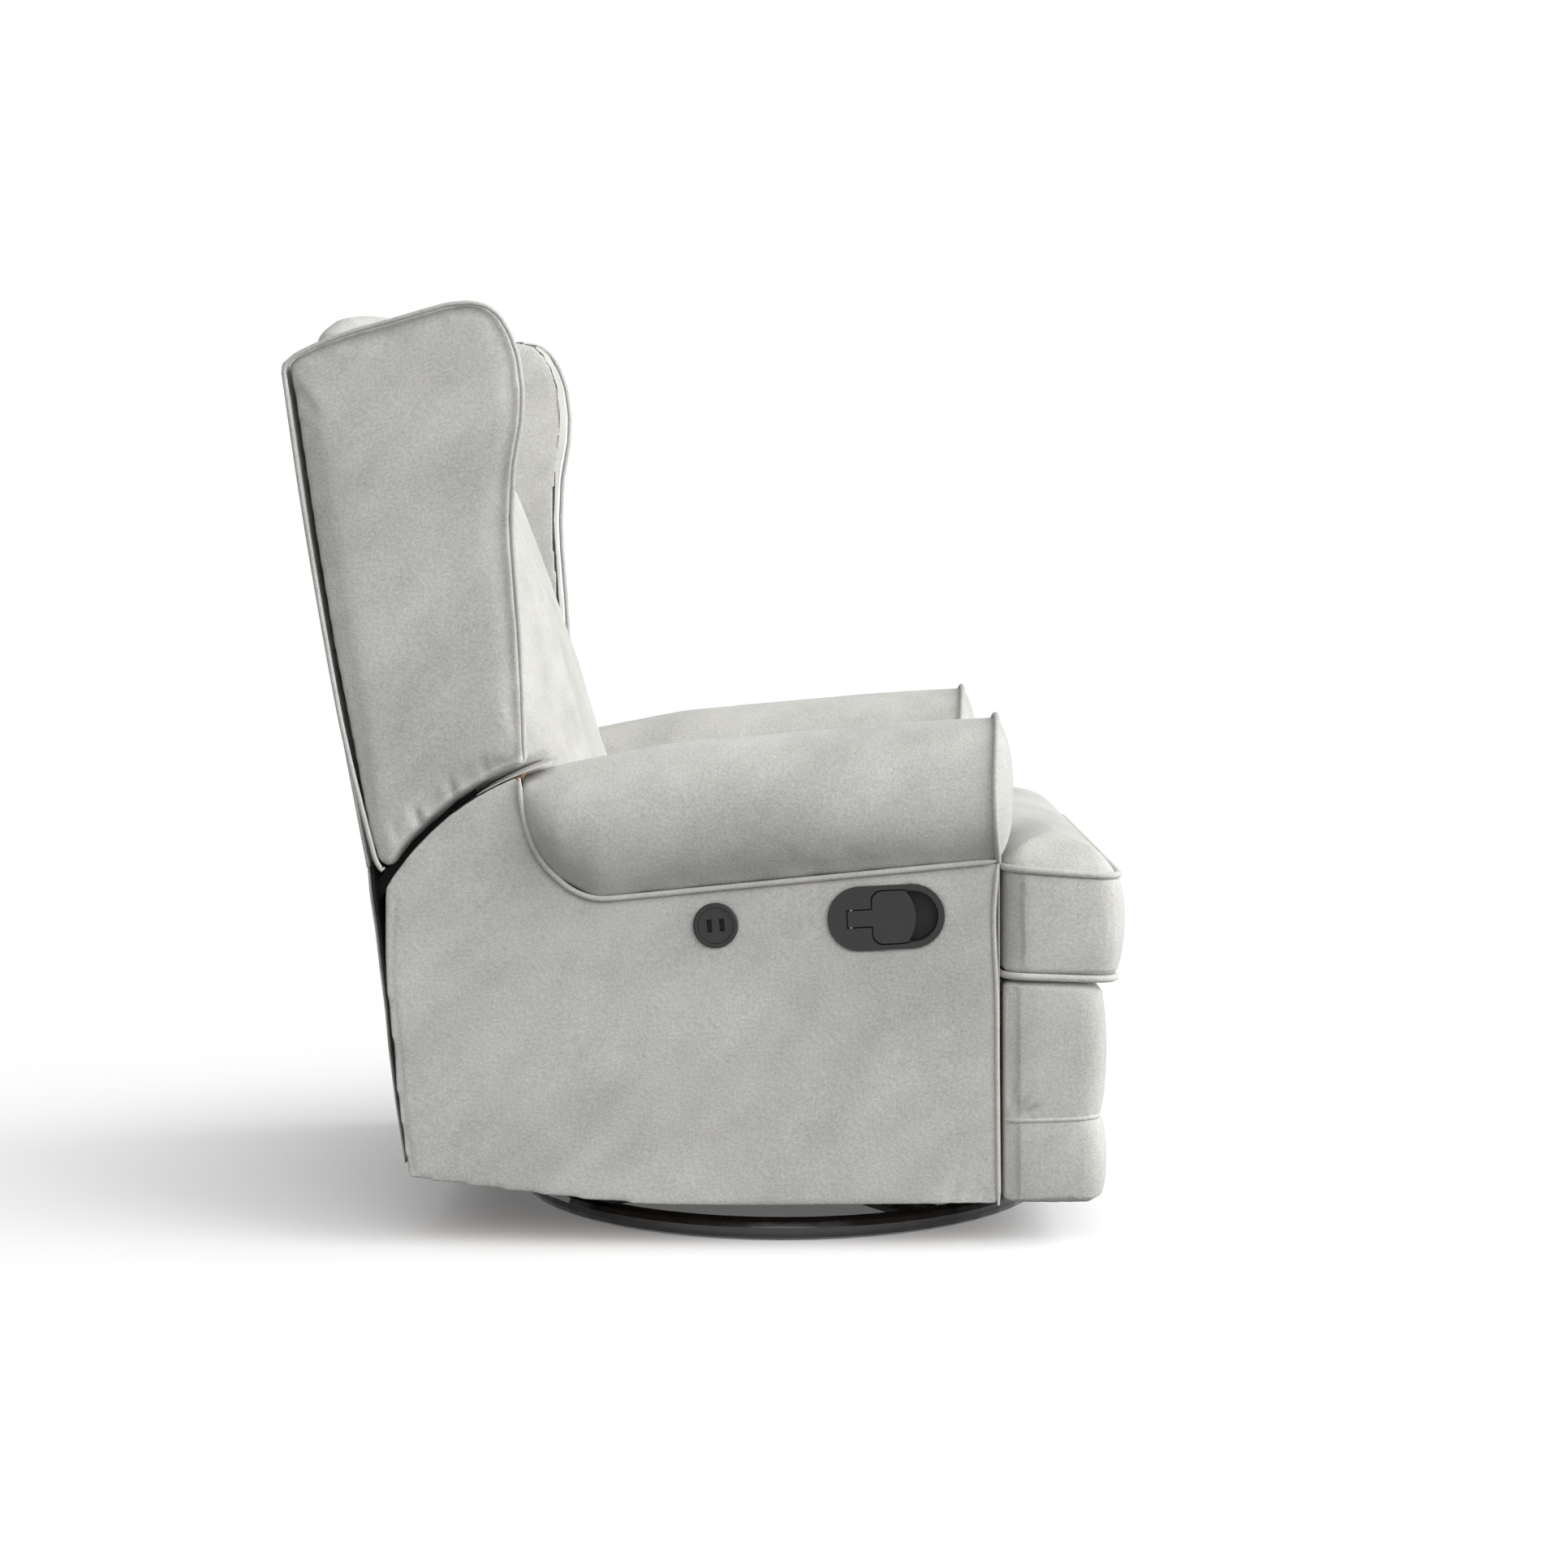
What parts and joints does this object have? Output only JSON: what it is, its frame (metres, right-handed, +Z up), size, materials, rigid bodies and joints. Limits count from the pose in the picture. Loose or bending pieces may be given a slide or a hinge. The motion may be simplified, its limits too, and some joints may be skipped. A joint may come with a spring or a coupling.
{
  "type": "swivel glider recliner",
  "caption": "Upholstered swivel glider recliner with winged back, rolled arms, T cushion and folding footrest on a steel ring base.",
  "frame": {"origin": "on the floor under the middle of the chair's bounding box, with the swivel axis 89 mm in front of it", "axes": "+Z up, -Y towards the front of the seat, -X towards the sitter's right side, where the latch handle and the charging socket are"},
  "size_m": [0.766, 0.9332, 1.0589],
  "materials": {
    "suede": "matte",
    "black_gloss_steel": "gloss",
    "painted_steel": "satin",
    "bright_steel": "satin",
    "plywood": "matte",
    "charcoal_plastic": "satin",
    "cable_sheath": "satin"
  },
  "bodies": {
    "base": {"base_ring": "black_gloss_steel", "base_cross": "black_gloss_steel", "hub_race_lower": "painted_steel", "ball_cage": "bright_steel", "king_bolt": "bright_steel"},
    "swivel_frame": {"hub_race_upper": "painted_steel", "glider_frame": "painted_steel"},
    "front_hangers": {"hanger_front_left": "painted_steel", "hanger_front_right": "painted_steel", "hanger_rod_front": "bright_steel"},
    "rear_hangers": {"hanger_rear_left": "painted_steel", "hanger_rear_right": "painted_steel", "hanger_rod_rear": "bright_steel"},
    "body": {"carriage_frame": "painted_steel", "mechanism_plate_left": "painted_steel", "mechanism_plate_right": "painted_steel", "front_rail": "plywood", "rear_rail": "plywood", "body_rear_rail": "plywood", "seat_spring_1": "bright_steel", "seat_spring_2": "bright_steel", "seat_spring_3": "bright_steel", "seat_spring_4": "bright_steel", "arm_frame_left": "plywood", "arm_frame_right": "plywood", "side_panel_left": "suede", "side_panel_right": "suede", "arm_roll_left": "suede", "arm_roll_right": "suede", "arm_front_left": "suede", "arm_front_right": "suede", "seat_cushion": "suede", "latch_bezel": "charcoal_plastic", "paddle_pin": "bright_steel", "usb_bezel": "charcoal_plastic", "usb_socket_block": "charcoal_plastic", "release_cable": "cable_sheath"},
    "back": {"back_frame": "plywood", "back_bracket_left": "painted_steel", "back_bracket_right": "painted_steel", "back_panel": "suede", "wing_left": "suede", "wing_right": "suede", "back_cushion": "suede", "back_tail": "suede"},
    "footrest_drive": {"footrest_torque_tube": "bright_steel", "drive_link_left": "painted_steel", "drive_link_right": "painted_steel"},
    "footrest_rear_links": {"rear_link_left": "painted_steel", "rear_link_right": "painted_steel"},
    "footrest_carriers": {"carrier_link_left": "painted_steel", "carrier_link_right": "painted_steel"},
    "footrest_controls": {"control_link_left": "painted_steel", "control_link_right": "painted_steel"},
    "footrest": {"footrest_bracket_left": "painted_steel", "footrest_bracket_right": "painted_steel", "footrest_board": "plywood", "footrest_pad_upper": "suede", "footrest_pad_lower": "suede"},
    "latch": {"latch_paddle": "charcoal_plastic"}
  },
  "joints": [
    {"name": "swivel", "type": "hinge", "parent": "base", "child": "swivel_frame", "pos_m": [0, -0.089, 0.04], "axis": [0, 0, 1], "continuous": true},
    {"name": "front_glide", "type": "hinge", "parent": "swivel_frame", "child": "front_hangers", "pos_m": [0, -0.239, 0.2], "axis": [1, 0, 0], "range_deg": [-18, 18]},
    {"name": "rear_glide", "type": "hinge", "parent": "swivel_frame", "child": "rear_hangers", "pos_m": [0, 0.061, 0.2], "axis": [1, 0, 0], "range_deg": [-18, 18]},
    {"name": "body_glide", "type": "hinge", "parent": "front_hangers", "child": "body", "pos_m": [0, -0.239, 0.08], "axis": [1, 0, 0], "range_deg": [-18, 18]},
    {"name": "back_recline", "type": "hinge", "parent": "body", "child": "back", "pos_m": [0, 0.097, 0.244], "axis": [-1, 0, 0], "range_deg": [0, 35], "deforming": ["back_tail"]},
    {"name": "footrest_open", "type": "hinge", "parent": "body", "child": "footrest_drive", "pos_m": [0, -0.279, 0.268], "axis": [-1, 0, 0], "range_deg": [0, 90]},
    {"name": "rear_link_turn", "type": "hinge", "parent": "body", "child": "footrest_rear_links", "pos_m": [0, -0.233, 0.268], "axis": [-1, 0, 0], "range_deg": [0, 90]},
    {"name": "carrier_turn", "type": "hinge", "parent": "footrest_drive", "child": "footrest_carriers", "pos_m": [0, -0.149, 0.118], "axis": [-1, 0, 0], "range_deg": [-90, 0]},
    {"name": "control_turn", "type": "hinge", "parent": "footrest_drive", "child": "footrest_controls", "pos_m": [0, -0.14528, 0.09429], "axis": [-1, 0, 0], "range_deg": [-90, 0]},
    {"name": "footrest_turn", "type": "hinge", "parent": "footrest_carriers", "child": "footrest", "pos_m": [0, -0.311, 0.235], "axis": [-1, 0, 0], "range_deg": [0, 90]},
    {"name": "latch_pull", "type": "hinge", "parent": "body", "child": "latch", "pos_m": [-0.3488, -0.163, 0.365], "axis": [0, 0, -1], "range_deg": [0, 30], "stiffness_Nm_per_rad": 0.2}
  ],
  "couplings": [
    {"joint": "rear_glide", "follows": "front_glide", "ratio": 1},
    {"joint": "body_glide", "follows": "front_glide", "ratio": -1},
    {"joint": "rear_link_turn", "follows": "footrest_open", "ratio": 1},
    {"joint": "carrier_turn", "follows": "footrest_open", "ratio": -1},
    {"joint": "control_turn", "follows": "footrest_open", "ratio": -1},
    {"joint": "footrest_turn", "follows": "footrest_open", "ratio": 1}
  ]
}
